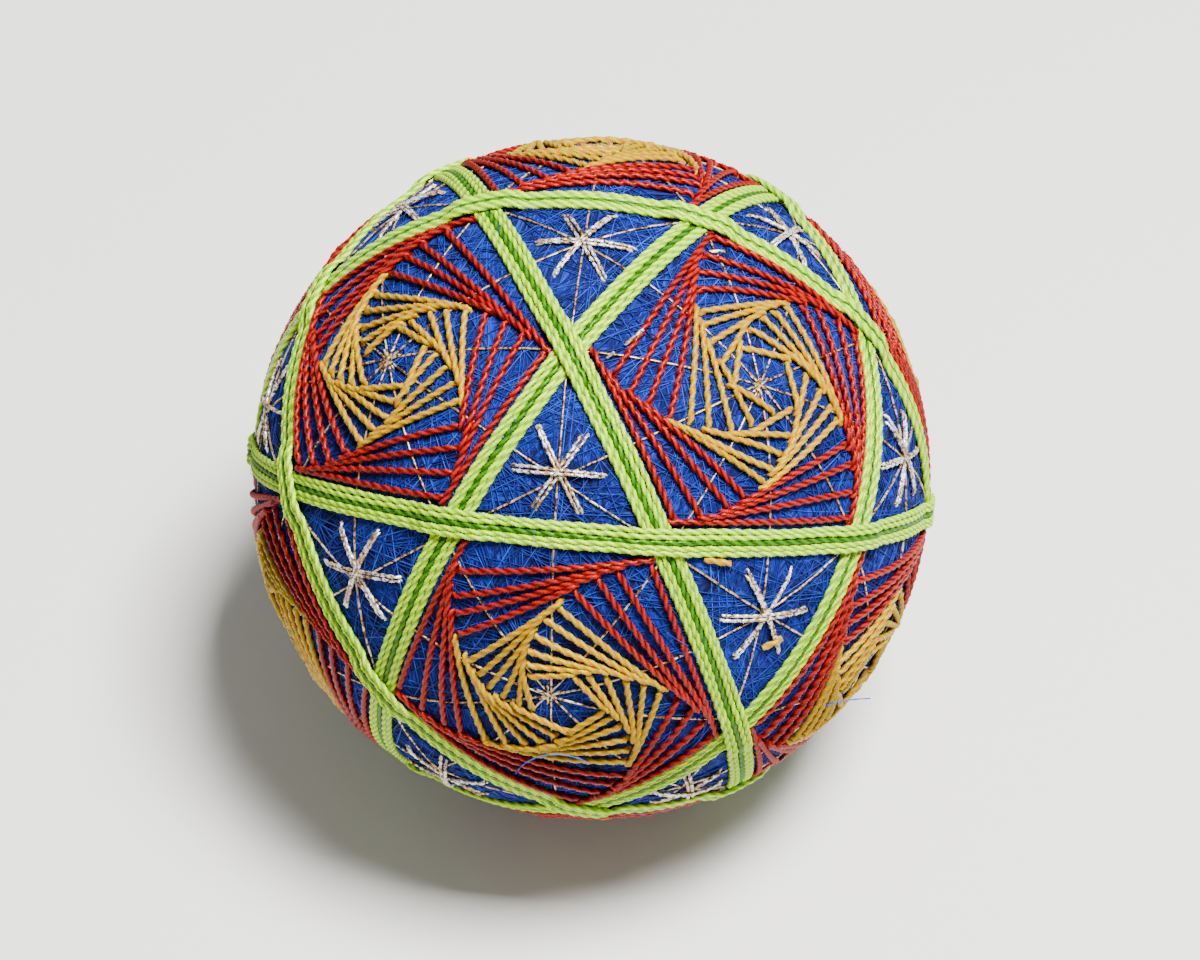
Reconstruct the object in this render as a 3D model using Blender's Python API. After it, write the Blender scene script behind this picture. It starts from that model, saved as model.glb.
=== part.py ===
"""A temari ball about 88 mm across, in metres, +Z up, resting on the floor at z = 0.

A thread-wound ball carries six green bands on great circles, twelve red and twelve yellow
five-sided whirls, and twenty silver stars. Every point of the pattern is worked out on a sphere
of radius one and then set at its height above the ball.
"""

import itertools

import bmesh
import bpy
import numpy as np

MM = 0.001

# Heights and widths, in millimetres
BALL_RADIUS = 42.4
CENTRE_HEIGHT = 42.6  # of the ball's centre above the floor
GAP = 0.5  # from the ball up to the underside of what is stitched on it
THREAD_HEIGHT = 0.7
THREAD_HALF_WIDTH = 0.34
BAND_HALF_WIDTH = 1.8
BAND_HALF_TOP = 1.5
BAND_CLEARANCE = 0.37  # between two bands where they cross
RAMP = 2.6  # along the band, from its low level up to the top of the band it crosses
LONGEST_STEP = 5.5  # between two cross-sections of a band
STACK = GAP + THREAD_HEIGHT  # pressed thickness of ball skin, gap and band at the foot
FOOT = 0.25  # a band's outer face that comes this near the floor is flattened onto it

# Whirls, in millimetres
EDGE_INSET = 2.54  # from a band's middle line to the outermost stitch of a whirl
THREAD_PITCH = 0.75  # between two stitches that lie side by side
RED_STEPS = (3.3, 3.0, 2.6)  # how far each new round moves along the old one
YELLOW_START = (4.0, 3.0, 3.0, 3.0, 3.0)  # from the last red corners to the first yellow ones
YELLOW_INSET = 1.03
YELLOW_STEPS = (2.3, 2.2, 2.1, 1.8, 1.5)
LONG_WHIRLS = (4, 9, 12)  # the ones with a sixth yellow round; the others have five
LONGEST_STITCH = 7.5  # between two cross-sections of a stitch

# Stars, in millimetres
STAR_REACH = 6.6
STAR_HALF_WIDTH = 0.45
STAR_HEIGHT = 0.5

# The lines through opposite ten-part points of the ball, with one three-fold axis upright
HIGH = np.sqrt((5 + 2 * np.sqrt(5)) / 15)
LOW = np.sqrt((5 - 2 * np.sqrt(5)) / 15)

# Bands from the lowest to the highest, each square to one such line:
# cosine of the line's polar angle, its azimuth, and how far the band is tilted off it, in degrees
BANDS = {
    "band_1": (LOW, 150, 0, 0),
    "band_2": (HIGH, 210, 3.4, 5.0),
    "band_3": (LOW, 30, 0, 0),
    "band_4": (LOW, 270, 0, 0),
    "band_5": (HIGH, 90, 2.2, -2.0),
    "band_6": (HIGH, 330, 1.4, 1.6),
}
PILE = list(BANDS)

# Colour, roughness and metallic value of each finish
FINISHES = {
    "wound blue sewing thread": ((0.014, 0.042, 0.30), 0.85, 0.0),
    "green perle cotton": ((0.36, 0.66, 0.07), 0.55, 0.0),
    "red perle cotton": ((0.58, 0.02, 0.01), 0.55, 0.0),
    "yellow perle cotton": ((0.95, 0.50, 0.02), 0.55, 0.0),
    "pale gold metallic thread": ((0.68, 0.60, 0.45), 0.35, 0.8),
}


def unit(vectors):
    """The vectors scaled to length one."""
    vectors = np.asarray(vectors, float)
    return vectors / np.linalg.norm(vectors, axis=-1, keepdims=True)


def direction(polar_cosine, azimuth, tilt=0.0, turn=0.0):
    """A unit vector from the cosine of its polar angle and its azimuth in degrees."""
    polar = np.arccos(polar_cosine) + np.radians(tilt)
    around = np.radians(azimuth + turn)
    return np.array(
        [np.sin(polar) * np.cos(around), np.sin(polar) * np.sin(around), np.cos(polar)]
    )


def band_normals():
    """Unit normal of each band's plane."""
    return {name: direction(*values) for name, values in BANDS.items()}


def ten_part_points():
    """The twelve pentagon centres."""
    lines = [direction(cosine, azimuth) for cosine, azimuth, _, _ in BANDS.values()]
    return np.array(lines + [-line for line in lines])


def six_part_points(centres):
    """The twenty triangle centres: the middles of three pentagon centres that lie nearest."""
    nearest = 1 / np.sqrt(5)
    found = []
    for three in itertools.combinations(centres, 3):
        pairs = itertools.combinations(three, 2)
        if all(abs(a @ b - nearest) < 1e-6 for a, b in pairs):
            found.append(unit(sum(three)))
    return np.array(found)


def crossings(normals):
    """The thirty points where two bands cross, and the two bands' normals at each."""
    points, pairs = [], []
    for pair in itertools.combinations(normals.values(), 2):
        point = unit(np.cross(*pair))
        points += [point, -point]
        pairs += [pair, pair]
    return np.array(points), np.array(pairs)


def toward(start, end, length):
    """The point that lies length millimetres from start on the great circle to end."""
    along = unit(end - start * (start @ end))
    angle = length / BALL_RADIUS
    return start * np.cos(angle) + along * np.sin(angle)


def beside(crossing, pair, centre):
    """The point by a crossing, on centre's side, that lies EDGE_INSET from both bands."""
    distance = np.sin(EDGE_INSET / BALL_RADIUS)
    toward_centre = pair * np.sign(pair @ centre)[:, None]
    aside = np.linalg.lstsq(toward_centre, [distance, distance], rcond=None)[0]
    return aside + crossing * np.sqrt(1 - aside @ aside)


def counterclockwise(points, centre):
    """The points in order round centre, seen from outside, from the one nearest the top left."""
    east = unit(np.cross([0, 0, 1], centre))
    north = np.cross(centre, east)
    angles = np.degrees(np.arctan2(points @ north, points @ east)) % 360
    first = np.argmin(np.abs(angles - 126))
    return points[np.argsort((angles - angles[first]) % 360)]


def set_on_ball(points, heights):
    """Unit directions to metres at the given heights above the ball, pressed at the foot."""
    heights = np.asarray(heights, float)
    placed = points * (BALL_RADIUS + heights)[..., None]
    placed[..., 2] += CENTRE_HEIGHT
    placed[..., 2] = np.maximum(placed[..., 2], np.maximum(STACK - heights, 0))
    placed[(heights >= STACK) & (placed[..., 2] < FOOT), 2] = 0
    return placed * MM


def finish(name):
    """The material of that name, made once."""
    if name in bpy.data.materials:
        return bpy.data.materials[name]
    colour, roughness, metallic = FINISHES[name]
    material = bpy.data.materials.new(name)
    material.use_nodes = True
    shader = material.node_tree.nodes["Principled BSDF"]
    shader.inputs["Base Color"].default_value = (*colour, 1)
    shader.inputs["Roughness"].default_value = roughness
    shader.inputs["Metallic"].default_value = metallic
    material.diffuse_color = (*colour, 1)
    return material


def add_solid(name, points, faces, material, collection):
    """A closed mesh object with its faces turned outward."""
    mesh = bpy.data.meshes.new(name)
    mesh.from_pydata([tuple(p) for p in points], [], [tuple(f) for f in faces])
    work = bmesh.new()
    work.from_mesh(mesh)
    bmesh.ops.recalc_face_normals(work, faces=work.faces)
    work.to_mesh(mesh)
    work.free()
    mesh.materials.append(finish(material))
    made = bpy.data.objects.new(name, mesh)
    collection.objects.link(made)
    return made


def add_ball(collection):
    """The wound ball: an icosphere, pressed flat at the foot."""
    bpy.ops.mesh.primitive_ico_sphere_add(subdivisions=4, radius=1)
    ball = bpy.context.active_object
    ball.name = "ball"
    mesh = ball.data
    points = np.empty(len(mesh.vertices) * 3)
    mesh.vertices.foreach_get("co", points)
    points = set_on_ball(unit(points.reshape(-1, 3)), np.zeros(len(mesh.vertices)))
    mesh.vertices.foreach_set("co", points.ravel())
    mesh.update()
    mesh.materials.append(finish("wound blue sewing thread"))
    for holder in ball.users_collection:
        holder.objects.unlink(ball)
    collection.objects.link(ball)


def loft(rings, closed):
    """Quads between each ring of points and the next, with end caps unless closed."""
    count, sides = rings.shape[:2]
    spans = count if closed else count - 1
    faces = []
    for i, j in itertools.product(range(spans), range(sides)):
        k, after = (j + 1) % sides, (i + 1) % count
        faces.append((i * sides + j, i * sides + k, after * sides + k, after * sides + j))
    if not closed:
        faces += [tuple(range(sides)), tuple(range((count - 1) * sides, count * sides))]
    return rings.reshape(-1, 3), faces


def band_stations(name, normals):
    """Where a band gets a cross-section: angles round it, and how high it is raised there."""
    normal = normals[name]
    east = unit(np.cross(normal, [0.2, 0.1, 1]))
    north = np.cross(normal, east)
    stations = {}
    for other, theirs in normals.items():
        if other == name:
            continue
        point = unit(np.cross(normal, theirs))
        lean = abs(normal @ theirs)
        full = BAND_HALF_WIDTH * (1 + lean) / np.sqrt(1 - lean**2) + BAND_CLEARANCE
        over = PILE.index(name) > PILE.index(other)
        rise = THREAD_HEIGHT + BAND_CLEARANCE if over else 0
        for side in (point, -point):
            middle = np.arctan2(side @ north, side @ east)
            marks = {-full - RAMP: 0, -full: rise, 0: rise, full: rise, full + RAMP: 0}
            for offset, height in (marks if over else {0: 0}).items():
                stations[(middle + offset / BALL_RADIUS) % (2 * np.pi)] = height
    angles = sorted(stations)
    heights = [stations[angle] for angle in angles]
    spaced, raised = [], []
    for i, angle in enumerate(angles):
        after = angles[(i + 1) % len(angles)] + (2 * np.pi if i + 1 == len(angles) else 0)
        pieces = int(np.ceil((after - angle) * BALL_RADIUS / LONGEST_STEP))
        for k in range(pieces):
            spaced.append(angle + (after - angle) * k / pieces)
            raised.append(heights[i] if k == 0 else 0)
    return east, north, np.array(spaced), np.array(raised)


def add_band(name, normals, collection):
    """One band: a flat-topped strip, lofted round its great circle and over lower bands."""
    east, north, angles, raised = band_stations(name, normals)
    middle = np.outer(np.cos(angles), east) + np.outer(np.sin(angles), north)
    profile = [
        (-BAND_HALF_WIDTH, 0),
        (-BAND_HALF_TOP, THREAD_HEIGHT),
        (BAND_HALF_TOP, THREAD_HEIGHT),
        (BAND_HALF_WIDTH, 0),
    ]
    rings = []
    for across, up in profile:
        points = unit(middle + normals[name] * across / BALL_RADIUS)
        rings.append(set_on_ball(points, GAP + raised + up))
    points, faces = loft(np.stack(rings, axis=1), closed=True)
    add_solid(name, points, faces, "green perle cotton", collection)


def inside(start, end, step, inset):
    """A whirl's next corner: step along the old stitch and inset to its inner side."""
    point = toward(start, end, step)
    along = unit(end - point * (point @ end))
    inward = np.cross(point, along)
    angle = inset / BALL_RADIUS
    return point * np.cos(angle) + inward * np.sin(angle)


def spiral(corners, steps):
    """Corners of a whirl: each new one lies inside the stitch made five stitches before."""
    path = list(corners)
    while len(path) <= 5 * (len(steps) + 1):
        n = len(path) - 5
        path.append(inside(path[n], path[n + 1], steps[min(n // 5, len(steps) - 1)], THREAD_PITCH))
    return path


def add_thread(name, path, material, collection):
    """A ridge three sides round, one thread wide, that follows the path on the ball."""
    points, sides = [], []
    for start, end in zip(path[:-1], path[1:]):
        length = np.arccos(start @ end) * BALL_RADIUS
        pieces = int(np.ceil(length / LONGEST_STITCH))
        side = unit(np.cross(start, end))
        if sides:  # a mitre where two stitches meet
            sides[-1] = unit(sides[-1] + side) / np.sqrt((1 + sides[-1] @ side) / 2)
        else:
            points.append(start)
            sides.append(side)
        for k in range(1, pieces + 1):
            points.append(unit(start + (end - start) * k / pieces))
            sides.append(side)
    points, sides = np.array(points), np.array(sides)
    profile = [(-THREAD_HALF_WIDTH, 0), (0, THREAD_HEIGHT), (THREAD_HALF_WIDTH, 0)]
    rings = []
    for across, up in profile:
        spot = unit(points + sides * across / BALL_RADIUS)
        rings.append(set_on_ball(spot, np.full(len(spot), GAP + up)))
    add_solid(name, *loft(np.stack(rings, axis=1), closed=False), material, collection)


def add_whirls(normals, collection):
    """A red and a yellow whirl in each pentagon."""
    crossed, pairs = crossings(normals)
    centres = ten_part_points()
    order = np.lexsort((np.round(centres[:, 1], 3), np.round(-centres[:, 2], 3)))
    for number, centre in enumerate(centres[order], 1):
        near = np.argsort(-(crossed @ centre))[:5]
        corners = np.array([beside(crossed[i], pairs[i], centre) for i in near])
        red = spiral(counterclockwise(corners, centre), RED_STEPS)
        starts = zip(red[-6:-1], red[-5:], YELLOW_START)
        steps = YELLOW_STEPS if number in LONG_WHIRLS else YELLOW_STEPS[:-1]
        yellow = spiral([inside(a, b, step, YELLOW_INSET) for a, b, step in starts], steps)
        add_thread(f"red_whirl_{number:02d}", red, "red perle cotton", collection)
        add_thread(f"yellow_whirl_{number:02d}", yellow, "yellow perle cotton", collection)


def star_reach(centre, ray, normals):
    """How far a ray runs, in millimetres, before it comes near a band."""
    reach = STAR_REACH
    clear = BAND_HALF_WIDTH + BAND_CLEARANCE + STAR_HALF_WIDTH
    while reach > 2:
        angle = reach / BALL_RADIUS
        tip = centre * np.cos(angle) + ray * np.sin(angle)
        if all(abs(np.arcsin(tip @ n)) * BALL_RADIUS > clear for n in normals.values()):
            return reach
        reach -= 0.1
    return reach


def add_stars(normals, collection):
    """Six rays in each triangle, halfway between the six marking lines that meet there."""
    crossed, _ = crossings(normals)
    centres = six_part_points(ten_part_points())
    order = np.lexsort((np.round(centres[:, 1], 3), np.round(-centres[:, 2], 3)))
    notch = STAR_HALF_WIDTH / np.sin(np.radians(30))
    for number, nominal in enumerate(centres[order], 1):
        near = crossed[np.argsort(-(crossed @ nominal))[:3]]
        centre = unit(near.sum(axis=0))
        ahead = unit(near[0] - centre * (centre @ near[0]))
        left = np.cross(centre, ahead)
        outline = []
        for k in range(6):
            turn = np.radians(30 + 60 * k)
            ray = ahead * np.cos(turn) + left * np.sin(turn)
            side = np.cross(centre, ray)
            reach = star_reach(centre, ray, normals)
            tip = centre + ray * np.tan(reach / BALL_RADIUS)
            outline += [tip - side * STAR_HALF_WIDTH / BALL_RADIUS]
            outline += [tip + side * STAR_HALF_WIDTH / BALL_RADIUS]
            between = np.radians(60 + 60 * k)
            dip = ahead * np.cos(between) + left * np.sin(between)
            outline += [centre + dip * notch / BALL_RADIUS]
        flat = unit(np.array([centre] + outline))
        low = set_on_ball(flat, np.full(19, GAP))
        high = set_on_ball(flat, np.full(19, GAP + STAR_HEIGHT))
        faces = []
        for k in range(6):
            first, second, dip = (1 + 3 * k, 2 + 3 * k, 3 + 3 * k)
            before = 1 + (3 * k - 1) % 18
            faces += [(0, before, dip), (before, first, second, dip)]
        faces += [tuple(19 + i for i in face) for face in faces]
        faces += [(i, 1 + i % 18, 20 + i % 18, 19 + i) for i in range(1, 19)]
        name = f"star_{number:02d}"
        points = np.concatenate([low, high])
        add_solid(name, points, faces, "pale gold metallic thread", collection)


def main():
    for old in list(bpy.data.objects):
        bpy.data.objects.remove(old, do_unlink=True)
    collection = bpy.data.collections.new("Temari ball")
    bpy.context.scene.collection.children.link(collection)
    normals = band_normals()
    add_ball(collection)
    for name in PILE:
        add_band(name, normals, collection)
    add_whirls(normals, collection)
    add_stars(normals, collection)


main()
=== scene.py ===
# %% [markdown]
# # A temari ball, thread by thread
# A temari is a ball wound with sewing thread and then stitched. This lesson dresses the plain
# solids of the part with the real threads: the blue winding, the marking lines, the silver
# stars, the red and yellow whirls and the green bands. A bump pattern on plain strips would be
# quicker, but threads show at the ball's edge and throw shadows on each other. So each thread is
# a profile carried along a path on the ball, worked out with numpy as whole arrays.

# %% Load the frame
import itertools
import math

import bpy
import numpy as np
from mathutils import Matrix


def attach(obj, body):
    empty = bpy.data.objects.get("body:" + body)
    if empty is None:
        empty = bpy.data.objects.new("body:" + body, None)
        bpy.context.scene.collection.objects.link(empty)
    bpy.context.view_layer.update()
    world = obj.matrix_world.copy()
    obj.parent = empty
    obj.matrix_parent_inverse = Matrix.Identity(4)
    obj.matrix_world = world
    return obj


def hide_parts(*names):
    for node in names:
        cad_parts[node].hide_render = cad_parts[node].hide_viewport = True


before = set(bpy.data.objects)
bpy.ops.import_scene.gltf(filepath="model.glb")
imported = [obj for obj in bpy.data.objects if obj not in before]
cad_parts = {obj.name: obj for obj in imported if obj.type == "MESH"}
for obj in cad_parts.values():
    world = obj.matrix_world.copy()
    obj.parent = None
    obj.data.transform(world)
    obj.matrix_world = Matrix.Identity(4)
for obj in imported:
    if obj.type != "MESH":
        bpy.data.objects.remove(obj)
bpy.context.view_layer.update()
random = np.random.default_rng(20)
print("solids to dress:", len(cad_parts))

# %% [markdown]
# ## Sizes
# All lengths are in millimetres and turn into metres in one place. The ball rests on the floor
# at z = 0 and gives a little under its own weight, so its foot is pressed flat.

# %% Sizes and the pressed foot
MM = 0.001
CENTRE_HEIGHT = 42.6  # of the ball's centre above the floor
SKIN = 42.6  # radius of the wound surface
PRESSED = 43.4  # radius that the floor just meets, the top of a band
PERLE = 0.93  # thickness of the red and yellow thread
BAND_THREAD = 0.88  # thickness of the green thread
PERLE_PITCH = 0.5  # between the starts of two neighbouring stitches, which press together


def unit(vectors):
    """Each vector divided by its length."""
    vectors = np.asarray(vectors, float)
    return vectors / np.linalg.norm(vectors, axis=-1, keepdims=True)


def stand(points):
    """Points round the ball's centre, raised to stand on the floor. A point that would sink
    deeper than its distance below the band tops allows is pushed up, so layers keep order."""
    placed = points + [0, 0, CENTRE_HEIGHT]
    below = np.maximum(PRESSED - np.linalg.norm(points, axis=-1), 0)
    placed[..., 2] = np.maximum(placed[..., 2], below)
    return placed * MM


# %% [markdown]
# ## The division
# The maker folds a paper strip to mark ten-part points on the ball: the corners of an
# icosahedron. Here one of its triangles faces up. Each band runs square to a line through two
# opposite ten-part points, and three of the bands on this ball lie a few degrees off their true
# circle. All other points follow from these lines, so no point is placed by hand.

# %% Bands, crossings and centres
HIGH = np.sqrt((5 + 2 * np.sqrt(5)) / 15)
LOW = np.sqrt((5 - 2 * np.sqrt(5)) / 15)
# From the lowest of the pile to the highest: cosine of the line's polar angle, its azimuth, and
# the band's tilt and turn off it in degrees
BANDS = {
    "band_1": (LOW, 150, 0, 0),
    "band_2": (HIGH, 210, 3.4, 5.0),
    "band_3": (LOW, 30, 0, 0),
    "band_4": (LOW, 270, 0, 0),
    "band_5": (HIGH, 90, 2.2, -2.0),
    "band_6": (HIGH, 330, 1.4, 1.6),
}
PILE = list(BANDS)


def direction(polar_cosine, azimuth, tilt=0.0, turn=0.0):
    """Unit vector: sine of the polar angle times (cosine, sine) of the azimuth, then its cosine."""
    polar, around = np.arccos(polar_cosine) + np.radians(tilt), np.radians(azimuth + turn)
    return np.array([np.sin(polar) * np.cos(around), np.sin(polar) * np.sin(around), np.cos(polar)])


def in_rows(centres):
    """The centres from the top row down, in the same order as the solids' numbers."""
    return centres[np.lexsort((np.round(centres[:, 1], 3), np.round(-centres[:, 2], 3)))]


NORMALS = {name: direction(*values) for name, values in BANDS.items()}
TRUE_LINES = np.array([direction(*values[:2]) for values in BANDS.values()])
TEN_PART = np.concatenate([TRUE_LINES, -TRUE_LINES])
NEAR = 1 / np.sqrt(5)  # cosine between neighbouring ten-part points
SIX_PART = np.array([
    unit(sum(three))
    for three in itertools.combinations(TEN_PART, 3)
    if all(abs(a @ b - NEAR) < 1e-6 for a, b in itertools.combinations(three, 2))
])
FOUR_PART = np.array([
    unit(a + b) for a, b in itertools.combinations(TEN_PART, 2) if abs(a @ b - NEAR) < 1e-6
])
PAIRS = np.array([pair for pair in itertools.combinations(NORMALS.values(), 2) for _ in (0, 1)])
CROSSINGS = unit(np.cross(PAIRS[:, 0], PAIRS[:, 1])) * np.tile([1, -1], 15)[:, None]
print("ten-part, six-part, four-part points and crossings:",
      len(TEN_PART), len(SIX_PART), len(FOUR_PART), len(CROSSINGS))

# %% [markdown]
# ## Moving on the ball
# Stitches pulled tight on a ball follow great circles. Two small functions are enough: one
# walks from a point toward another, and one gives a stitch's points at even steps.


# %% Walking on the ball
def toward(start, end, length):
    """cosine(a) times start plus sine(a) times the tangent to end, where a = length / radius."""
    along = unit(end - start * (start @ end))
    return start * np.cos(length / SKIN) + along * np.sin(length / SKIN)


def inside(start, end, step, inset):
    """A point step along the stitch from start to end, and inset to its left, the inner side."""
    point = toward(start, end, step)
    inward = np.cross(point, unit(end - point * (point @ end)))
    return point * np.cos(inset / SKIN) + inward * np.sin(inset / SKIN)


def beside(crossing, pair, centre, distance):
    """The point near a crossing, on centre's side, at the same distance from both bands:
    the combination of the two normals that gives both dot products, plus the crossing."""
    rows = pair * np.sign(pair @ centre)[:, None]
    aside = np.linalg.lstsq(rows, np.full(2, np.sin(distance / SKIN)), rcond=None)[0]
    return aside + crossing * np.sqrt(1 - aside @ aside)


def arc(start, end, step):
    """Unit vectors from start to end along the great circle, about step millimetres apart."""
    angle = np.arccos(np.clip(start @ end, -1, 1))
    count = max(int(np.ceil(angle * SKIN / step)), 4)
    share = np.linspace(0, 1, count + 1)[:, None]
    return (np.sin((1 - share) * angle) * start + np.sin(share * angle) * end) / np.sin(angle)


# %% [markdown]
# ## A twisted thread
# Perle cotton is two plies twisted like the middle stroke of a Z. Its cross-section is a
# waisted oval that turns as it goes, one full turn in 3.1 mm, so the two plies appear as
# slanting beads. Two point attributes go with it: ply is 0 on a bead and 1 in the groove
# between plies, and the material paints a highlight on the beads and shade in the grooves by
# it; tone is a small random shade for each stitch.

# %% Thread makers
SIDES = 8  # corners of a thread's section
TWIST_PITCH = 3.1  # millimetres for one full turn of the two plies
RING_STEP = TWIST_PITCH / 7  # between two sections, the widest step that keeps the beads round


def thread(path, thickness, pitch=TWIST_PITCH, waist=0.15, sides=SIDES, closed=False, phase=0.0):
    """Rings of points round a path. At angle f of the section the radius is half the thickness
    times (1 - waist + waist cos 2f). The section starts at angle phase and turns by 2 pi for
    each pitch of length, or on a closed path by the nearest whole number of turns in all."""
    before, after = np.roll(path, 1, axis=0), np.roll(path, -1, axis=0)
    tangent = unit(after - before) if closed else unit(np.gradient(path, axis=0))
    outward = unit(path)
    across = unit(np.cross(outward, tangent))
    outward = np.cross(tangent, across)
    gaps = np.linalg.norm(np.diff(path, axis=0, append=path[:1]), axis=1)
    along = np.concatenate([[0], np.cumsum(gaps)[:-1]])
    turns = along / pitch
    if closed:
        turns = along / gaps.sum() * np.round(gaps.sum() / pitch)
    section = 2 * np.pi * np.arange(sides) / sides
    radius = thickness / 2 * (1 - waist + waist * np.cos(2 * section))
    angle = section + 2 * np.pi * turns[:, None] + phase
    rings = path[:, None] + radius[:, None] * (
        np.cos(angle)[..., None] * across[:, None] + np.sin(angle)[..., None] * outward[:, None]
    )
    # The weight of the painted groove shade: 0 on a ply's crown, 1 in the waist between plies.
    painted_groove_shade = np.broadcast_to(0.5 - 0.5 * np.cos(2 * section), angle.shape)
    return rings, painted_groove_shade


def skin_faces(count, sides, closed):
    """Quads between neighbouring rings, and a fan of quads over each open end. The number of
    sides is even where there are ends."""
    i, j = np.meshgrid(np.arange(count if closed else count - 1), np.arange(sides), indexing="ij")
    k, after = (j + 1) % sides, (i + 1) % count
    quads = np.stack([i * sides + j, i * sides + k, after * sides + k, after * sides + j], -1)
    quads = quads.reshape(-1, 4)
    if closed:
        return quads
    cap = np.array([(0, n, n + 1, n + 2) for n in range(1, sides - 1, 2)])
    last = (count - 1) * sides
    return np.concatenate([quads, cap[:, ::-1], cap + last])


def mesh_object(name, points, quads, **attributes):
    """A smooth mesh object from points in metres, quads, and point attributes."""
    mesh = bpy.data.meshes.new(name)
    mesh.vertices.add(len(points))
    mesh.vertices.foreach_set("co", points.astype(np.float32).ravel())
    mesh.loops.add(quads.size)
    mesh.loops.foreach_set("vertex_index", quads.astype(np.int32).ravel())
    mesh.polygons.add(len(quads))
    mesh.polygons.foreach_set("loop_start", np.arange(0, quads.size, 4, dtype=np.int32))
    mesh.update(calc_edges=True)
    mesh.polygons.foreach_set("use_smooth", np.ones(len(quads), bool))
    for key, values in attributes.items():
        layer = mesh.attributes.new(key, "FLOAT", "POINT")
        layer.data.foreach_set("value", np.asarray(values, np.float32).ravel())
    made = bpy.data.objects.new(name, mesh)
    bpy.context.scene.collection.objects.link(made)
    return made


def threads_object(name, paths, thickness, tones, **settings):
    """One object of several threads, each with its own tone."""
    closed = settings.get("closed", False)
    points, quads, plies, shades, start = [], [], [], [], 0
    for path, tone in zip(paths, tones):
        rings, painted_groove_shade = thread(path, thickness, phase=random.uniform(0, 3), **settings)
        points.append(stand(rings.reshape(-1, 3)))
        quads.append(skin_faces(*rings.shape[:2], closed) + start)
        plies.append(painted_groove_shade.ravel())
        shades.append(np.full(painted_groove_shade.size, tone))
        start += painted_groove_shade.size
    return mesh_object(name, np.concatenate(points), np.concatenate(quads),
                       ply=np.concatenate(plies), tone=np.concatenate(shades))


TRIANGLES = {}


def finish(piece, material, slot, *nodes):
    """Gives a piece its material and its place in the frame, and counts its triangles."""
    piece.data.materials.append(material)
    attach(piece, "root")
    if nodes:
        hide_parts(*nodes)
    TRIANGLES[piece.name] = 2 * len(piece.data.polygons)
    return piece


# %% [markdown]
# ## Materials
# One function turns an sRGB hex value to linear colour, and one adds a node with its settings
# and links. All else is written out for each finish.


# %% Colour and node helpers
def colour(hex_value):
    """sRGB to linear: ((c + 0.055) / 1.055) to the power 2.4, or c / 12.92 where c is small."""
    srgb = np.array([int(hex_value[i:i + 2], 16) for i in (1, 3, 5)]) / 255
    linear = np.where(srgb > 0.04045, ((srgb + 0.055) / 1.055) ** 2.4, srgb / 12.92)
    return (*linear.tolist(), 1.0)


def node(tree, kind, inputs=None, **settings):
    """Adds a node, sets its properties, and fills its inputs with values or links."""
    made = tree.nodes.new(kind)
    for key, value in settings.items():
        setattr(made, key, value)
    for key, value in (inputs or {}).items():
        if isinstance(value, bpy.types.NodeSocket):
            tree.links.new(value, made.inputs[key])
        else:
            made.inputs[key].default_value = value
    return made


def new_material(name):
    """An empty node material with its shader and object coordinates."""
    material = bpy.data.materials.new(name)
    material.use_nodes = True
    tree = material.node_tree
    shader = tree.nodes["Principled BSDF"]
    where = node(tree, "ShaderNodeTexCoord").outputs["Object"]
    return material, tree, shader, where


# %% [markdown]
# ### Perle cotton
# Perle cotton is mercerised: the fibres are swollen smooth, so it is glossy for a cotton. The
# beads of the plies catch the light, and the grooves between them look deeper and more
# saturated. Both are painted into the colour: a painted highlight on the beads and a painted
# shade in the grooves.


# %% Perle cotton
def perle_cotton(name, bead_and_highlight, painted_groove_shade, dull, gloss):
    """Bead colour on the plies, the thread's own colour with a painted highlight; a painted shade
    in the grooves between them; a duller, worn tint in patches; and the tint of the gloss, which
    comes from just under the surface of the dyed fibres."""
    material, tree, shader, where = new_material(name)
    ply = node(tree, "ShaderNodeAttribute", attribute_name="ply").outputs["Fac"]
    tone = node(tree, "ShaderNodeAttribute", attribute_name="tone").outputs["Fac"]
    # Patches of handling and dye about 6 mm across
    patches = node(tree, "ShaderNodeTexNoise", {"Vector": where, "Scale": 160.0, "Detail": 2.0})
    # Fibre streaks about 0.25 mm wide
    fibres = node(tree, "ShaderNodeTexNoise", {"Vector": where, "Scale": 4000.0, "Detail": 1.0})
    worn = node(tree, "ShaderNodeMapRange", {"Value": patches.outputs["Fac"], "From Min": 0.35,
                                             "From Max": 0.75, "To Max": 0.45})
    face = node(tree, "ShaderNodeMix", {"Factor": worn.outputs[0], "A": colour(bead_and_highlight),
                                        "B": colour(dull)}, data_type="RGBA")
    # Painted highlight and shade: by ply the colour goes from the paler bead colour on the crowns
    # to the darker, deeper groove colour between the plies.
    painted_ply_shade = node(tree, "ShaderNodeMix", {"Factor": ply, "A": face.outputs["Result"],
                                         "B": colour(painted_groove_shade)}, data_type="RGBA")
    light = node(tree, "ShaderNodeMath", {0: fibres.outputs["Fac"], 1: 0.30, 2: 0.85},
                 operation="MULTIPLY_ADD")
    bright = node(tree, "ShaderNodeMath", {0: light.outputs[0], 1: tone}, operation="MULTIPLY")
    shaded = node(tree, "ShaderNodeHueSaturation", {"Value": bright.outputs[0],
                                                    "Color": painted_ply_shade.outputs["Result"]})
    tree.links.new(shaded.outputs[0], shader.inputs["Base Color"])
    bump = node(tree, "ShaderNodeBump", {"Height": fibres.outputs["Fac"], "Strength": 0.35,
                                         "Distance": 0.00006})
    tree.links.new(bump.outputs[0], shader.inputs["Normal"])
    shader.inputs["Roughness"].default_value = 0.3
    shader.inputs["IOR"].default_value = 1.53
    shader.inputs["Specular IOR Level"].default_value = 0.45
    shader.inputs["Specular Tint"].default_value = colour(gloss)
    return material


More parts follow.
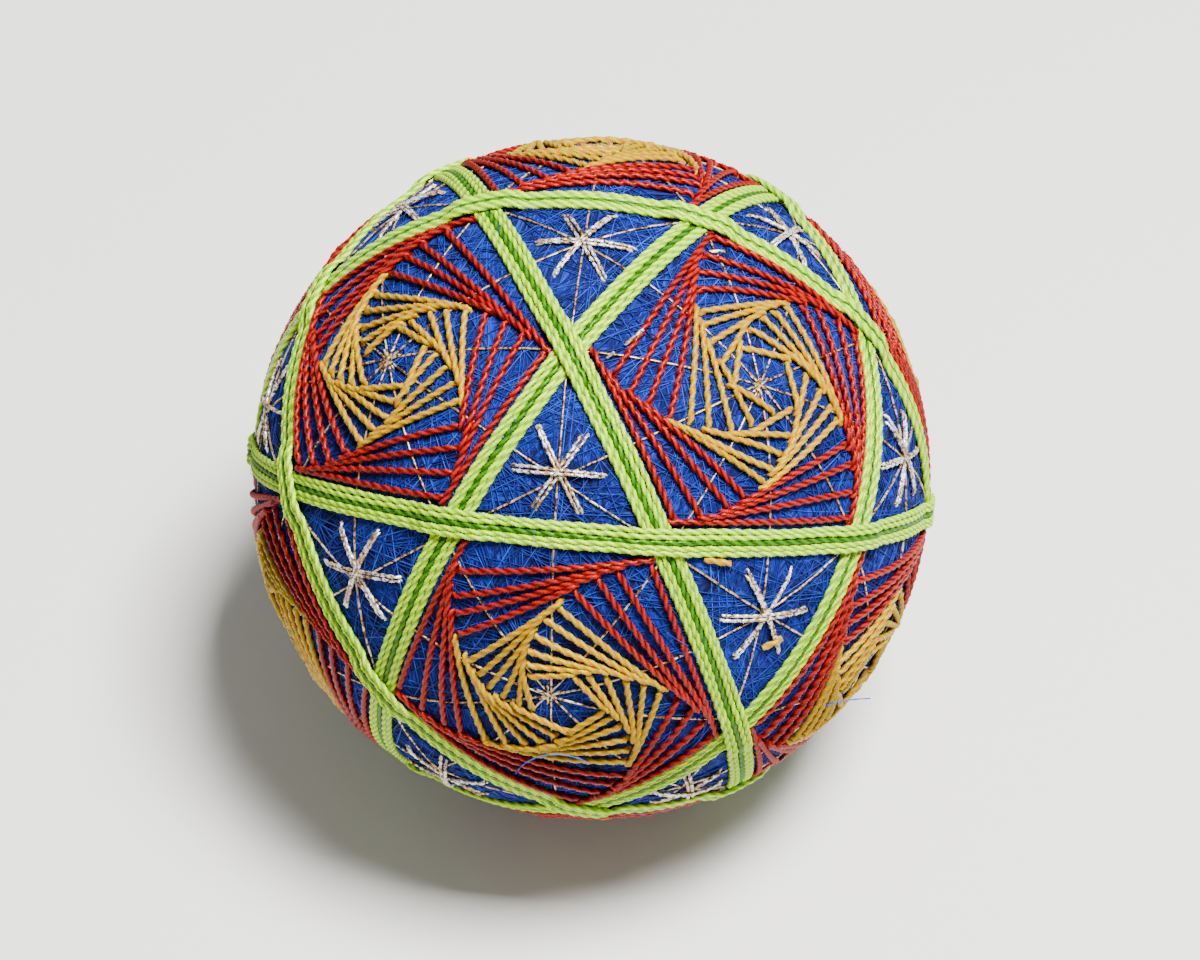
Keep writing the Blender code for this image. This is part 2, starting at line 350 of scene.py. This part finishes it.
# Colours in order: the thread's own colour with a painted highlight on the beads, the painted shade
# in the grooves, the worn tint, and the gloss tint.
red_cotton = perle_cotton("red perle cotton", "#AE1A11", "#2E0204", "#88100D", "#FF744C")
yellow_cotton = perle_cotton("yellow perle cotton", "#AEA200", "#AA6000", "#AC8400", "#FFD200")
light_green_cotton = perle_cotton("light green perle cotton", "#C6F400", "#5E9206", "#B0E200",
                                  "#F0FF30")
dark_green_cotton = perle_cotton("dark green perle cotton", "#3E8014", "#0E2C04", "#326E0E",
                                 "#B8F050")

# %% [markdown]
# ### Metallic thread
# Metallic thread is a narrow metallised film wrapped on a core. The film turns as it goes, so
# it flashes bright and dark in spots less than a millimetre long. These flashes are painted
# into its colour as painted glints.


# %% Metallic thread
def metallic_thread(name, bright, warm, dark, share):
    """Film that is bright in some patches of 2 mm and warm in others, with dark spots 0.5 mm long
    painted between, as painted glints of the turning film; share moves the balance of the spots."""
    material, tree, shader, where = new_material(name)
    spots = node(tree, "ShaderNodeTexNoise", {"Vector": where, "Scale": 2200.0, "Detail": 1.0})
    # Painted glints: the film is painted dark in spots where it would turn from the light.
    painted_glint = node(tree, "ShaderNodeMapRange", {"Value": spots.outputs["Fac"],
                                              "From Min": share - 0.06, "From Max": share + 0.06})
    patches = node(tree, "ShaderNodeTexNoise", {"Vector": where, "Scale": 480.0, "Detail": 1.0})
    warmth = node(tree, "ShaderNodeMapRange", {"Value": patches.outputs["Fac"],
                                               "From Min": 0.42, "From Max": 0.62})
    metal = node(tree, "ShaderNodeMix", {"Factor": warmth.outputs[0], "A": colour(bright),
                                         "B": colour(warm)}, data_type="RGBA")
    film = node(tree, "ShaderNodeMix", {"Factor": painted_glint.outputs[0], "A": colour(dark),
                                        "B": metal.outputs["Result"]}, data_type="RGBA")
    tree.links.new(film.outputs["Result"], shader.inputs["Base Color"])
    bump = node(tree, "ShaderNodeBump", {"Height": spots.outputs["Fac"], "Strength": 0.6,
                                         "Distance": 0.0001})
    tree.links.new(bump.outputs[0], shader.inputs["Normal"])
    shader.inputs["Metallic"].default_value = 0.55
    shader.inputs["Roughness"].default_value = 0.38
    return material


# Colours in order: bright film, warm film, and the dark of the painted glints.
marking_thread = metallic_thread("gold marking thread", "#DCC89C", "#B08C50", "#4C3418", 0.48)
star_thread = metallic_thread("pale silver gold thread", "#FAF4E6", "#C0A47C", "#6A5230",
                              0.45)

# %% [markdown]
# ### Blue sewing thread
# The ball is covered with spun sewing thread, matt and a little hairy. Single threads show as
# fine lines that cross at every angle, lighter on top and almost navy in the gaps. The surface
# under the top threads gets four sets of fine streaks: noise drawn out along one direction.
# Their height sets a painted shade, almost navy in the gaps and lighter on the streaks.


# %% Blue sewing thread
def wound_thread(name):
    """Four sets of streaks 0.2 mm wide and a few millimetres long, each shown in its own patches
    and the highest one on top. Their height gives the bump and a painted shade: navy low down in
    the gaps, lighter blue on top."""
    material, tree, shader, where = new_material(name)
    height = None
    for turn in ((0.3, 0.9, 0.2), (1.2, 0.1, 1.1), (0.2, 2.0, 2.3), (2.2, 1.3, 0.6)):
        turned = node(tree, "ShaderNodeMapping", {"Vector": where, "Rotation": turn})
        drawn = node(tree, "ShaderNodeMapping", {"Vector": turned.outputs[0],
                                                 "Scale": (300.0, 300.0, 3800.0)})
        streaks = node(tree, "ShaderNodeTexNoise", {"Vector": drawn.outputs[0], "Scale": 1.0,
                                                    "Detail": 2.0, "Distortion": 0.3})
        patch = node(tree, "ShaderNodeTexNoise", {"Vector": turned.outputs[0], "Scale": 260.0,
                                                  "Detail": 1.0})
        shown = node(tree, "ShaderNodeMapRange", {"Value": patch.outputs["Fac"],
                                                  "From Min": 0.40, "From Max": 0.55})
        thin = node(tree, "ShaderNodeMapRange", {"Value": streaks.outputs["Fac"],
                                                 "From Min": 0.42, "From Max": 0.68})
        part = node(tree, "ShaderNodeMath", {0: thin.outputs[0], 1: shown.outputs[0]},
                    operation="MULTIPLY").outputs[0]
        if height is not None:
            part = node(tree, "ShaderNodeMath", {0: height, 1: part},
                        operation="MAXIMUM").outputs[0]
        height = part
    # Painted shade: the streak height picks the colour, almost navy in the gaps and lighter blue on
    # the streaks' tops.
    ramp = node(tree, "ShaderNodeValToRGB", {"Fac": height})
    stops = ramp.color_ramp.elements
    stops[0].position, stops[0].color = 0.05, colour("#050622")
    stops[1].position, stops[1].color = 0.95, colour("#17309C")
    middle = stops.new(0.5)
    middle.color = colour("#0E1864")
    tree.links.new(ramp.outputs["Color"], shader.inputs["Base Color"])
    bump = node(tree, "ShaderNodeBump", {"Height": height, "Strength": 0.8, "Distance": 0.0002})
    tree.links.new(bump.outputs[0], shader.inputs["Normal"])
    shader.inputs["Roughness"].default_value = 0.9
    shader.inputs["Specular IOR Level"].default_value = 0.15
    return material


def strand_thread(name):
    """Single threads: the tone attribute runs from navy through blue to a light, dusty blue."""
    material, tree, shader, where = new_material(name)
    tone = node(tree, "ShaderNodeAttribute", attribute_name="tone").outputs["Fac"]
    grain = node(tree, "ShaderNodeTexNoise", {"Vector": where, "Scale": 900.0, "Detail": 2.0})
    mixed = node(tree, "ShaderNodeMath", {0: grain.outputs["Fac"], 1: 0.5, 2: tone},
                 operation="MULTIPLY_ADD")
    ramp = node(tree, "ShaderNodeValToRGB", {"Fac": mixed.outputs[0]})
    stops = ramp.color_ramp.elements
    stops[0].position, stops[0].color = 0.25, colour("#090E3E")
    stops[1].position, stops[1].color = 1.0, colour("#2E50BE")
    middle = stops.new(0.6)
    middle.color = colour("#142A82")
    tree.links.new(ramp.outputs["Color"], shader.inputs["Base Color"])
    shader.inputs["Roughness"].default_value = 0.7
    shader.inputs["Specular IOR Level"].default_value = 0.15
    return material


blue_winding = wound_thread("blue winding")
blue_strand = strand_thread("blue sewing thread")
print("materials:", len(bpy.data.materials))

# %% [markdown]
# ## The wound ball
# Hundreds of metres of thread lie on the real ball. Only the top ones are made here. First comes
# the surface of the winding, a sphere with a shallow unevenness. Then come the top threads:
# clusters of great circles that run nearly side by side, as turns wound one after another do.

# %% Winding surface
SURFACE = SKIN - 0.06  # middle radius of the uneven surface
WAVE = 0.02  # height of each of its six slow waves


def winding_surface(rows=90, columns=180):
    """A grid in polar angle and azimuth. The radius is SURFACE plus six sines of the direction's
    products with random vectors."""
    polar = np.linspace(0, np.pi, rows + 1)[1:-1, None]
    around = 2 * np.pi * np.arange(columns) / columns
    grid = np.stack([np.sin(polar) * np.cos(around), np.sin(polar) * np.sin(around),
                     np.cos(polar) * np.ones(columns)], -1)
    waves = sum(np.sin(grid @ random.normal(0, 9, 3) + random.uniform(0, 6)) for _ in range(6))
    grid = grid * (SURFACE + WAVE * waves[..., None])
    points = np.concatenate([grid.reshape(-1, 3), [[0, 0, SURFACE], [0, 0, -SURFACE]]])
    i, j = np.meshgrid(np.arange(rows - 2), np.arange(columns), indexing="ij")
    k = (j + 1) % columns
    quads = np.stack([i * columns + j, (i + 1) * columns + j, (i + 1) * columns + k,
                      i * columns + k], -1).reshape(-1, 4)
    j = np.arange(0, columns, 2)
    top, bottom, last = len(points) - 2, len(points) - 1, (rows - 2) * columns
    top_cap = np.stack([np.full(len(j), top), j, j + 1, (j + 2) % columns], -1)
    low_cap = np.stack([np.full(len(j), bottom), last + (j + 2) % columns, last + j + 1,
                        last + j], -1)
    return mesh_object("winding", stand(points), np.concatenate([quads, top_cap, low_cap]))


winding = finish(winding_surface(), blue_winding, "wound_thread", "ball")
print("winding triangles:", TRIANGLES["winding"])

# %% Top threads of the winding
CLUSTERS, TURNS = 110, 3
STRAND = 0.17  # thickness of the blue sewing thread
STRAND_STEP = 3.0  # between two sections; a smooth thread needs few


def circle_path(axis, radius, wander, step, phase=0.0):
    """A closed circle square to axis. It wanders off its plane by wander millimetres, as a sum
    of three slow sines of the angle."""
    east = unit(np.cross(axis, [0.3, 0.2, 1.0]))
    north = np.cross(axis, east)
    count = int(2 * np.pi * radius / step)
    turn = (2 * np.pi * np.arange(count) / count)[:, None]
    off = wander / SKIN * (np.sin(2 * turn + phase) + 0.6 * np.sin(5 * turn + 2.3 * phase)
                           + 0.3 * np.sin(11 * turn + 4.1 * phase))
    return unit(np.cos(turn) * east + np.sin(turn) * north + off * axis) * radius


def cluster_paths():
    """For each cluster a random axis, and turns whose axes lean from it in even small steps."""
    paths = []
    for _ in range(CLUSTERS):
        axis, lean = unit(random.normal(size=3)), random.normal(size=3)
        spread = random.uniform(0.006, 0.05)
        for k in range(TURNS):
            leaned = unit(axis + lean * spread * (k - TURNS / 2) + random.normal(0, 0.003, 3))
            height = SKIN + random.uniform(0.0, 0.14)
            paths.append(circle_path(leaned, height, random.uniform(0.2, 1.2), STRAND_STEP,
                                     random.uniform(0, 6)))
    return paths


strands = cluster_paths()
strand_tones = np.clip(random.normal(0.24, 0.17, len(strands)), 0, 0.75)
top_threads = threads_object("winding_top_threads", strands, STRAND, strand_tones, sides=3,
                             waist=0.0, closed=True)
finish(top_threads, blue_strand, "wound_thread", "ball")
print("top threads:", len(strands), "triangles:", TRIANGLES["winding_top_threads"])

# %% [markdown]
# ### Loose fibres
# Spun thread sheds short fibres that stand off the ball. They only show at its edge, as a thin
# blue haze. A few hundred are enough for that, so instead of a hair system each fibre is a short
# curved thread of its own that leaves the skin and bends over. None is made near the floor.

# %% Loose fibres
FIBRE = 0.055  # thickness, coarser than a real fibre so that it shows
FLOOR_MARGIN = -38  # lowest height of a fibre's points, from the ball's centre


def fibre_paths(count=760):
    """Each hair runs along a tangent while it rises to a peak of 0.3 to 1 mm and comes down."""
    foot = unit(random.normal(size=(count, 3)))
    heading = unit(np.cross(foot, random.normal(size=(count, 3))))
    share = np.linspace(0, 1, 6)[None, :, None]
    length = random.uniform(1.5, 4.5, (count, 1, 1))
    rise = random.uniform(0.3, 1.0, (count, 1, 1))
    path = foot[:, None] * SKIN + heading[:, None] * length * share
    return unit(path) * (SKIN + 0.05 + rise * np.sin(2.4 * share))


hairs = [hair for hair in fibre_paths() if hair[:, 2].min() > FLOOR_MARGIN]
fibres = threads_object("winding_fibres", hairs, FIBRE, np.full(len(hairs), 0.5), sides=4,
                        waist=0.0)
finish(fibres, blue_strand, "wound_thread")
print("fibres:", len(hairs), "triangles:", TRIANGLES["winding_fibres"])

# %% [markdown]
# ## Marking lines
# Fifteen great circles of thin gold thread divide the ball. Each lies square to a line through
# two opposite four-part points, so the circles come from one of each two opposite points.

# %% Marking lines
MARKING = 0.36  # thickness of the marking thread
marking_axes = [axis for axis in FOUR_PART if tuple(np.round(axis, 6)) > (0, 0, 0)]
marking_paths = [circle_path(axis, SKIN + 0.2, 0.12, 1.5, random.uniform(0, 6))
                 for axis in marking_axes]
marking = threads_object("marking_lines", marking_paths, MARKING, np.ones(len(marking_paths)),
                         sides=6, waist=0.2, pitch=6.0, closed=True)
finish(marking, marking_thread, "metallic_thread", "ball")
print("marking circles:", len(marking_paths), "triangles:", TRIANGLES["marking_lines"])

# %% [markdown]
# ## Stitches
# A stitch comes up out of the ball, lies along its great circle and goes down again. Its path
# drops below the skin over the last millimetre at both ends. Every stitch gets a little of the
# unevenness of hand work: ends off by a tenth or two of a millimetre and a slight bow.

# %% A stitch
DIVE = 0.9  # length over which an end goes down into the ball
PILED = 3.5  # length near the start over which a stitch lies on the ones before it


def stitch(start, end, height, step, slack=0.0, dip=1.2, climb=0.0):
    """Great-circle arc at a height above the skin. The height falls by dip times the square of
    how far a point is inside the last DIVE of an end, and rises by slack times sine of the way.
    It also rises by climb times the bell curve of the distance from the start over PILED."""
    line = arc(start, end, step)
    length = np.arccos(start @ end) * SKIN
    way = np.linspace(0, 1, len(line))
    nearest = np.minimum(way, 1 - way) * length
    drop = dip * np.clip(1 - nearest / DIVE, 0, 1) ** 2
    side = unit(np.cross(start, end))
    bow = random.normal(0, 0.07) * np.sin(np.pi * way) + random.normal(0, 0.04) * np.sin(
        2 * np.pi * way)
    over = climb * np.exp(-((way * length / PILED) ** 2))
    lifted = SKIN + height + slack * np.sin(np.pi * way) + over - drop
    return unit(line + bow[:, None] / SKIN * side) * lifted[:, None]


def jitter(point, amount):
    """The point moved by a random normal step of amount millimetres on the ball."""
    return unit(point + random.normal(0, amount, 3) / SKIN)


# %% [markdown]
# ## Whirls
# A whirl starts in a corner of its pentagon and goes round counterclockwise. After the first
# five corners each new one lies a step along the stitch made five stitches before, one thread
# inside it. So the stitches lie side by side at one end and fan out at the other. Four rounds
# are red, and five or six yellow ones carry on inward. This is the rule that the maker's needle
# follows, and a few lines of it make all twelve whirls.

# %% Whirls
WHIRL_HEIGHT = 0.40  # of a stitch's middle above the skin
UNEVEN = 0.15  # spread of a stitch's ends
EDGE_INSET = 2.3  # from a band's middle line to the outermost stitch
RED_STEPS = (3.6, 3.2, 2.6)
YELLOW_START = (3.4, 2.9, 2.9, 2.9, 2.9)
YELLOW_INSET = 0.75
YELLOW_STEPS = (2.5, 2.4, 2.4, 2.1, 1.9)
LONG_WHIRLS = (4, 9, 12)  # the ones with a sixth yellow round; the others have five
CLOSING = {2: (0.8, 0.95, 1.2, 1.55)}  # one whirl closes in faster toward its middle
OVERRUN = 1.1  # how far before its corner a stitch comes up, over the end of the last one


def counterclockwise(points, centre):
    """The points in order round centre, seen from outside, from the one nearest the top left."""
    east = unit(np.cross([0, 0, 1], centre))
    angles = np.degrees(np.arctan2(points @ np.cross(centre, east), points @ east)) % 360
    first = angles[np.argmin(np.abs(angles - 126))]
    return points[np.argsort((angles - first) % 360)]


def spiral(corners, steps):
    """Each new corner lies inside the stitch made five stitches before."""
    path = list(corners)
    while len(path) <= 5 * (len(steps) + 1):
        n = len(path) - 5
        path.append(inside(path[n], path[n + 1], steps[min(n // 5, len(steps) - 1)], PERLE_PITCH))
    return path


def whirl_stitches(corners, height):
    """Stitches between neighbouring corners, each coming up a little before its own corner."""
    stitches = []
    for n, (a, b) in enumerate(zip(corners[:-1], corners[1:])):
        a, b = jitter(a, UNEVEN), jitter(b, UNEVEN)
        stitches.append(stitch(toward(a, b, -OVERRUN), b, height + random.uniform(0, 0.1),
                               RING_STEP, random.uniform(0, 0.12), climb=0.28 if n > 4 else 0.1))
    return stitches


for number, centre in enumerate(in_rows(TEN_PART), 1):
    near = np.argsort(-(CROSSINGS @ centre))[:5]
    corners = [beside(CROSSINGS[i], PAIRS[i], centre, EDGE_INSET) for i in near]
    red = spiral(counterclockwise(np.array(corners), centre), RED_STEPS)
    starts = zip(red[-6:-1], red[-5:], YELLOW_START)
    steps = YELLOW_STEPS if number in LONG_WHIRLS else YELLOW_STEPS[:-1]
    steps = np.array(steps) * CLOSING.get(number, 1)
    yellow = spiral([inside(a, b, step, YELLOW_INSET) for a, b, step in starts], steps)
    for kind, path, material in (("red", red, red_cotton), ("yellow", yellow, yellow_cotton)):
        stitches = whirl_stitches(path, WHIRL_HEIGHT)
        piece = threads_object(f"{kind}_whirl_{number:02d}_thread", stitches, PERLE,
                               random.normal(1.0, 0.05, len(stitches)))
        finish(piece, material, f"{kind}_thread", f"{kind}_whirl_{number:02d}")
print("whirl triangles:", sum(n for name, n in TRIANGLES.items() if "whirl" in name))

# %% [markdown]
# ## Silver stars
# Three stitches of doubled metallic thread cross in the middle of each triangle, halfway
# between its marking lines. They are a little loose, so the middle stands off the ball. Where a
# band lies off its true circle the triangle is smaller, and the rays stop short of the band.

# %% Silver stars
STAR_REACH = 6.6  # longest ray
STAR_CLEARANCE = 2.4  # from the end of a ray to a band's middle line
STAR_THREAD = 0.56  # thickness
STAR_PAIR = 0.22  # from a double stitch's middle line to each of its threads


def star_reach(centre, ray):
    """The longest reach, in steps of 0.1 mm, whose end stays clear of every band."""
    reaches = np.arange(STAR_REACH, 2, -0.1)[:, None]
    tips = centre * np.cos(reaches / SKIN) + ray * np.sin(reaches / SKIN)
    away = np.abs(np.arcsin(tips @ np.array(list(NORMALS.values())).T)).min(axis=1) * SKIN
    return float(reaches[np.argmax(away > STAR_CLEARANCE), 0])


def star_stitches(centre, corner):
    """Three doubled stitches at 30, 90 and 150 degrees from the triangle's first corner."""
    ahead = unit(corner - centre * (centre @ corner))
    left = np.cross(centre, ahead)
    stitches = []
    for k, height in zip(range(3), (0.25, 0.5, 0.75)):
        turn = np.radians(30 + 60 * k)
        ray = ahead * np.cos(turn) + left * np.sin(turn)
        side = np.cross(centre, ray)
        for half in (-1, 1):
            ends = []
            for sign in (-1, 1):
                reach = star_reach(centre, sign * ray) + random.normal(0, 0.25)
                tip = centre * np.cos(reach / SKIN) + sign * ray * np.sin(reach / SKIN)
                ends.append(jitter(unit(tip + side * half * STAR_PAIR / SKIN), 0.12))
            stitches.append(stitch(*ends, 0.25, 0.4, height - 0.1, dip=0.6))
    return stitches


for number, nominal in enumerate(in_rows(SIX_PART), 1):
    near = CROSSINGS[np.argsort(-(CROSSINGS @ nominal))[:3]]
    stitches = star_stitches(unit(near.sum(axis=0)), near[0])
    piece = threads_object(f"star_{number:02d}_thread", stitches, STAR_THREAD,
                           np.ones(len(stitches)), pitch=2.2, waist=0.2)
    finish(piece, star_thread, "metallic_thread", f"star_{number:02d}")
print("star triangles:", sum(n for name, n in TRIANGLES.items() if "star" in name))

# %% [markdown]
# ## Loose ends
# Hand work leaves a few ends: snippets of silver thread between the stitches, two short yellow
# tails, and blue sewing thread that has come loose. Each follows a Bezier curve through the air
# close above the ball, because a stiff short thread springs up in one smooth bow.

# %% Loose ends
LOOSE_SILVER, LOOSE_BLUE = 0.5, 0.22  # thicknesses
# Azimuth and elevation in degrees and height above the skin, for each control point
SILVER_ENDS = [
    [(-65.0, 69.3, 0.3), (-60.0, 70.0, 0.9), (-54.9, 70.4, 1.2)],
    [(-74.1, 67.7, 0.3), (-72.0, 68.1, 0.7), (-70.7, 68.3, 0.8)],
    [(10.3, 69.3, 0.3), (10.0, 68.0, 0.8), (10.4, 66.9, 0.9)],
]
YELLOW_ENDS = [
    [(-53.4, 12.9, 0.2), (-52.0, 13.1, 0.6), (-49.9, 13.5, 0.7)],
    [(-60.8, 32.5, 0.2), (-58.6, 31.4, 0.7), (-56.3, 30.5, 0.8)],
]
BLUE_ENDS = [
    [(-96.0, -9.5, 0.9), (-94.0, -2.5, 1.6), (-89.2, 1.0, 1.7), (-84.0, -3.5, 1.2)],
    [(-40.0, -11.5, 0.6), (-37.0, -11.0, 1.5), (-34.0, -10.5, 4.0)],
]


def bezier(controls, count=12):
    """Sum over the control points of binomial(n, k) (1 - t)^(n - k) t^k times each point."""
    azimuth, elevation, height = np.array(controls).T
    points = np.array([direction(np.sin(np.radians(e)), a) for a, e in zip(azimuth, elevation)])
    points = points * (SKIN + height)[:, None]
    n = len(controls) - 1
    t = np.linspace(0, 1, count)[:, None]
    return sum(math.comb(n, k) * (1 - t) ** (n - k) * t**k * points[k] for k in range(n + 1))


for name, ends, size, material, slot in (
        ("loose_silver_ends", SILVER_ENDS, LOOSE_SILVER, star_thread, "metallic_thread"),
        ("loose_yellow_ends", YELLOW_ENDS, PERLE, yellow_cotton, "yellow_thread"),
        ("loose_blue_ends", BLUE_ENDS, LOOSE_BLUE, blue_strand, "wound_thread")):
    piece = threads_object(name, [bezier(end) for end in ends], size, np.ones(len(ends)))
    finish(piece, material, slot)
print("loose ends:", len(SILVER_ENDS) + len(YELLOW_ENDS) + len(BLUE_ENDS))

# %% [markdown]
# ## Tacks
# Ten marking lines meet in the middle of each whirl. Three short stitches of the same thread
# hold them down there.

# %% Tacks
TACK_REACH = 1.9  # half the length of a tacking stitch
TACK_THREAD = 0.42  # thickness


def tack_stitches(centre):
    """Three stitches through the centre, 60 degrees apart from a random start."""
    east = unit(np.cross([0, 0, 1], centre))
    north = np.cross(centre, east)
    first, reach = random.uniform(0, np.pi), TACK_REACH / SKIN
    stitches = []
    for k in range(3):
        turn = first + k * np.pi / 3
        ray = east * np.cos(turn) + north * np.sin(turn)
        ends = [jitter(unit(centre * np.cos(reach) + sign * ray * np.sin(reach)), 0.2)
                for sign in (-1, 1)]
        stitches.append(stitch(*ends, 0.3, 0.45 + 0.1 * k, dip=0.8))
    return stitches


tacks = [line for centre in in_rows(TEN_PART) for line in tack_stitches(centre)]
tacking = threads_object("tacks", tacks, TACK_THREAD, np.ones(len(tacks)), sides=6, waist=0.2,
                         pitch=2.0)
finish(tacking, marking_thread, "metallic_thread")
print("tacking stitches:", len(tacks), "triangles:", TRIANGLES["tacks"])

# %% [markdown]
# ## Bands
# Each band is five threads side by side, light, light, dark, light, light. The maker wrapped
# one band after another, so a later band rides over an earlier one for its full width and comes
# down again beyond it. The dark thread lies a little deeper, pressed down between the others.

# %% Bands
BAND_HALF_WIDTH = 1.75
LIGHT_OFFSETS = (-1.30, -0.68, 0.68, 1.30)  # of the light threads, sideways from the dark one
LIGHT_HEIGHT, DARK_HEIGHT = 0.38, 0.30  # of a thread's middle above the skin
BAND_TWIST, BAND_WAIST = 3.3, 0.14  # pitch and waist of the green threads
LIFT = 0.76  # rise over a lower band
RAMP = 3.0  # length of the way down beside it


def band_path(name, offset, height):
    """A great circle moved sideways by offset, at a height above the skin. Near a lower band
    the height rises by LIFT: full where the two strips overlap, and down a smooth step of
    length RAMP beyond."""
    normal = NORMALS[name]
    path = circle_path(normal, SKIN, wander=0.0, step=RING_STEP)
    lift = np.zeros(len(path))
    for other in PILE[:PILE.index(name)]:
        theirs = NORMALS[other]
        lean = abs(normal @ theirs)
        full = BAND_HALF_WIDTH * (1 + lean) / np.sqrt(1 - lean**2)
        crossing = unit(np.cross(normal, theirs))
        away = np.arccos(np.clip(np.abs(unit(path) @ crossing), 0, 1)) * SKIN
        fall = np.clip((full + RAMP - away) / RAMP, 0, 1)
        lift = np.maximum(lift, LIFT * fall**2 * (3 - 2 * fall))
    turn = np.linspace(0, 2 * np.pi, len(path), endpoint=False)
    slack = 0.05 * np.sin(7 * turn + random.uniform(0, 6)) + 0.04 * np.sin(
        16 * turn + random.uniform(0, 6))
    sideways = unit(path) + normal * ((offset + slack) / SKIN)[:, None]
    return unit(sideways) * (SKIN + height + lift)[:, None]


for name in PILE:
    light = [band_path(name, offset, LIGHT_HEIGHT) for offset in LIGHT_OFFSETS]
    dark = [band_path(name, 0.0, DARK_HEIGHT)]
    for kind, paths, material in (("light", light, light_green_cotton),
                                  ("dark", dark, dark_green_cotton)):
        piece = threads_object(f"{name}_{kind}_threads", paths, BAND_THREAD,
                               random.normal(1.0, 0.06, len(paths)), closed=True,
                               pitch=BAND_TWIST, waist=BAND_WAIST)
        finish(piece, material, "green_thread", name)
print("band triangles:", sum(n for name, n in TRIANGLES.items() if "band" in name))
print("all triangles:", sum(TRIANGLES.values()), "most in a piece:", max(TRIANGLES.values()))

# %% [markdown]
# ## Stage, light and camera
# The ball sits on a plain pale floor under soft light from above. The camera stands where the
# photograph was taken: 565 mm from the ball's centre, 48.6 degrees above the floor.

# %% Floor
FLOOR_HALF = 2.5  # metres from the middle of the floor to its edge


def pale_floor():
    """A flat square with a matt, pale warm grey finish."""
    corners = FLOOR_HALF * np.array([[-1, -1, 0], [1, -1, 0], [1, 1, 0], [-1, 1, 0]])
    floor = mesh_object("floor", corners, np.array([[0, 1, 2, 3]]))
    material, _, shader, _ = new_material("pale floor")
    shader.inputs["Base Color"].default_value = colour("#E2E0DD")
    shader.inputs["Roughness"].default_value = 0.9
    floor.data.materials.append(material)


pale_floor()

# %% Light
CENTRE = np.array([0, 0, CENTRE_HEIGHT * MM])


def set_down(thing, right, up, back, place):
    """Links an object to the scene. Its matrix has its right, up and back directions and its
    place as columns."""
    bpy.context.scene.collection.objects.link(thing)
    matrix = np.eye(4)
    matrix[:3] = np.transpose([right, up, back, place])
    thing.matrix_world = Matrix(matrix.tolist())


def soft_light(name, place, size, power):
    """A square white area lamp at place that looks at the ball's centre."""
    lamp = bpy.data.lights.new(name, "AREA")
    lamp.size, lamp.energy = size, power
    back = unit(np.array(place) - CENTRE)
    right = unit(np.cross([0, 1, 0.01], back))
    set_down(bpy.data.objects.new(name, lamp), right, np.cross(back, right), back, place)


soft_light("soft box above", (0.24, -0.08, 0.85), size=0.26, power=30.0)
soft_light("front fill", (0.2, -0.9, 0.55), size=0.8, power=1.2)
world = bpy.data.worlds.new("pale room")
world.use_nodes = True
world.node_tree.nodes["Background"].inputs["Color"].default_value = colour("#F4F4F2")
world.node_tree.nodes["Background"].inputs["Strength"].default_value = 0.33
bpy.context.scene.world = world

# %% Camera
AZIMUTH, ELEVATION, ROLL = 7.56, 48.57, -1.5  # degrees
CAMERA_DISTANCE = 0.5655  # metres from the ball's centre
FOCAL_PIXELS, IMAGE_WIDTH = 4418.7, 1200
SHIFT_PIXELS = (9.8, -1.7)  # of the picture's middle from the lens axis


def photo_camera():
    """A camera whose right, up and back directions come from azimuth, elevation and roll."""
    azimuth, elevation, roll = np.radians([AZIMUTH, ELEVATION, ROLL])
    back = np.array([np.sin(azimuth) * np.cos(elevation), -np.cos(azimuth) * np.cos(elevation),
                     np.sin(elevation)])
    level = np.array([np.cos(azimuth), np.sin(azimuth), 0])
    above = np.cross(back, level)
    lens = bpy.data.cameras.new("photo camera")
    lens.sensor_width = 36.0
    lens.lens = FOCAL_PIXELS / IMAGE_WIDTH * lens.sensor_width
    lens.clip_start, lens.clip_end = 0.01, 10
    lens.shift_x, lens.shift_y = (shift / IMAGE_WIDTH for shift in SHIFT_PIXELS)
    camera = bpy.data.objects.new("photo camera", lens)
    set_down(camera, np.cos(roll) * level + np.sin(roll) * above,
             np.cos(roll) * above - np.sin(roll) * level, back, CENTRE + back * CAMERA_DISTANCE)
    bpy.context.scene.camera = camera


photo_camera()
